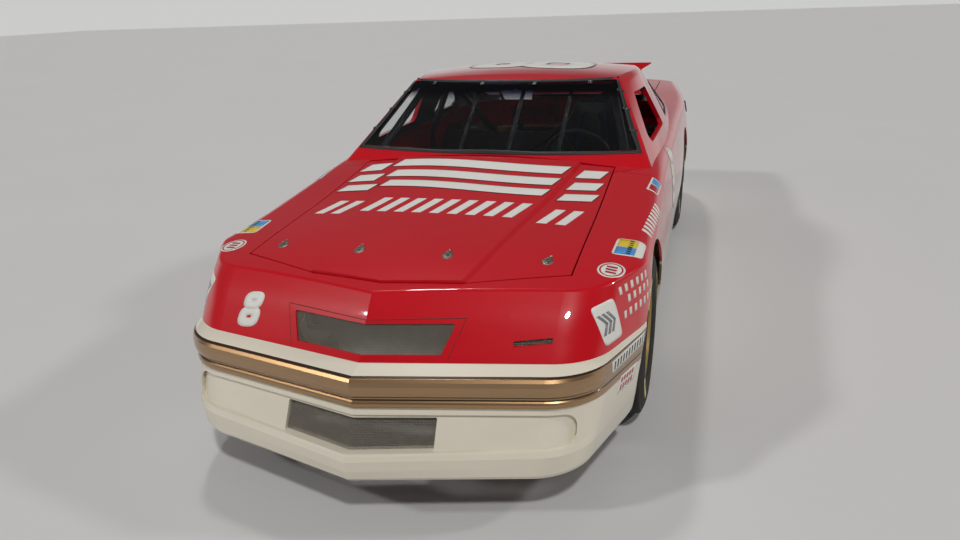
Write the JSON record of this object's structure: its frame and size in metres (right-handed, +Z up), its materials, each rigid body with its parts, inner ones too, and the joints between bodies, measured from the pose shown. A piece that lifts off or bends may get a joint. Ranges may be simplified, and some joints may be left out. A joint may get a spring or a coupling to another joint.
{
  "type": "stock car",
  "caption": "Closed two-door oval racing coupe with separate body panels, roll cage and frame; its road wheels turn and steer, and its hood and deck lid open.",
  "frame": {"origin": "on the floor under the middle of the car's length, between its sides", "axes": "+X to the car's left side, the nose toward -Y, +Z up"},
  "size_m": [1.85, 5.16, 1.3008],
  "materials": {
    "red_paint": "glossy deep red body paint",
    "cream_paint": "glossy cream bumper cover with gold bands",
    "mesh": "woven wire screen",
    "black_steel": "satin black",
    "grey_steel": "satin grey",
    "cast": "cast",
    "bare_steel": "plain",
    "aluminium": "finned",
    "glass": "clear",
    "lamp": "red lens",
    "trim": "black",
    "seat_cloth": "black cloth",
    "mirror": "mirror",
    "wheel_paint": "satin silver wheel",
    "tyre": "slick tread"
  },
  "bodies": {
    "chassis": {"frame_rails": "black_steel", "floor_pan": "grey_steel", "roll_cage": "black_steel", "engine_block": "cast", "driveline": "cast", "radiator": "aluminium", "exhaust_pipes": "bare_steel", "fuel_cell": "trim", "front_control_arms": "black_steel", "rear_axle": "black_steel", "front_fascia": "cream_paint", "lower_grille": "mesh", "header_panel": "red_paint", "upper_grille": "mesh", "left_fender": "red_paint", "right_fender": "red_paint", "left_door": "red_paint", "right_door": "red_paint", "left_quarter": "red_paint", "right_quarter": "red_paint", "left_rocker": "red_paint", "right_rocker": "red_paint", "cowl_panel": "red_paint", "rear_deck_panel": "red_paint", "rear_fascia": "red_paint", "tail_lamps": "lamp", "roof": "red_paint", "windshield": "glass", "rear_window": "glass", "quarter_windows": "glass", "windshield_braces": "black_steel", "interior_mirror": "mirror", "dash_panel": "trim", "driver_seat": "seat_cloth", "steering_column": "bare_steel"},
    "hood": {"hood": "red_paint"},
    "deck_lid": {"deck_lid": "red_paint", "spoiler": "red_paint"},
    "steering_wheel": {"steering_wheel": "trim"},
    "left_knuckle": {"left_knuckle": "black_steel"},
    "right_knuckle": {"right_knuckle": "black_steel"},
    "left_front_wheel": {"left_front_rim": "wheel_paint", "left_front_tyre": "tyre"},
    "left_rear_wheel": {"left_rear_rim": "wheel_paint", "left_rear_tyre": "tyre"},
    "right_front_wheel": {"right_front_rim": "wheel_paint", "right_front_tyre": "tyre"},
    "right_rear_wheel": {"right_rear_rim": "wheel_paint", "right_rear_tyre": "tyre"}
  },
  "joints": [
    {"name": "left_steer", "type": "hinge", "parent": "chassis", "child": "left_knuckle", "pos_m": [0.71, -1.51, 0.35], "axis": [0, 0, 1], "range_deg": [-16, 16]},
    {"name": "right_steer", "type": "hinge", "parent": "chassis", "child": "right_knuckle", "pos_m": [-0.71, -1.51, 0.35], "axis": [0, 0, 1], "range_deg": [-16, 16]},
    {"name": "steering_wheel_turn", "type": "hinge", "parent": "chassis", "child": "steering_wheel", "pos_m": [0.4, -0.37, 0.83], "axis": [0, 0.9397, 0.342], "range_deg": [-192, 192]},
    {"name": "left_front_spin", "type": "hinge", "parent": "left_knuckle", "child": "left_front_wheel", "pos_m": [0.768, -1.51, 0.35], "axis": [1, 0, 0], "continuous": true},
    {"name": "left_rear_spin", "type": "hinge", "parent": "chassis", "child": "left_rear_wheel", "pos_m": [0.768, 1.284, 0.35], "axis": [1, 0, 0], "continuous": true},
    {"name": "right_front_spin", "type": "hinge", "parent": "right_knuckle", "child": "right_front_wheel", "pos_m": [-0.768, -1.51, 0.35], "axis": [1, 0, 0], "continuous": true},
    {"name": "right_rear_spin", "type": "hinge", "parent": "chassis", "child": "right_rear_wheel", "pos_m": [-0.768, 1.284, 0.35], "axis": [1, 0, 0], "continuous": true},
    {"name": "hood_hinge", "type": "hinge", "parent": "chassis", "child": "hood", "pos_m": [0, -1.01, 0.852], "axis": [-1, 0, 0], "range_deg": [0, 50]},
    {"name": "deck_lid_hinge", "type": "hinge", "parent": "chassis", "child": "deck_lid", "pos_m": [0, 1.785, 0.938], "axis": [1, 0, 0], "range_deg": [0, 50]}
  ],
  "couplings": [
    {"joint": "right_steer", "follows": "left_steer", "ratio": 1},
    {"joint": "steering_wheel_turn", "follows": "left_steer", "ratio": 12}
  ]
}
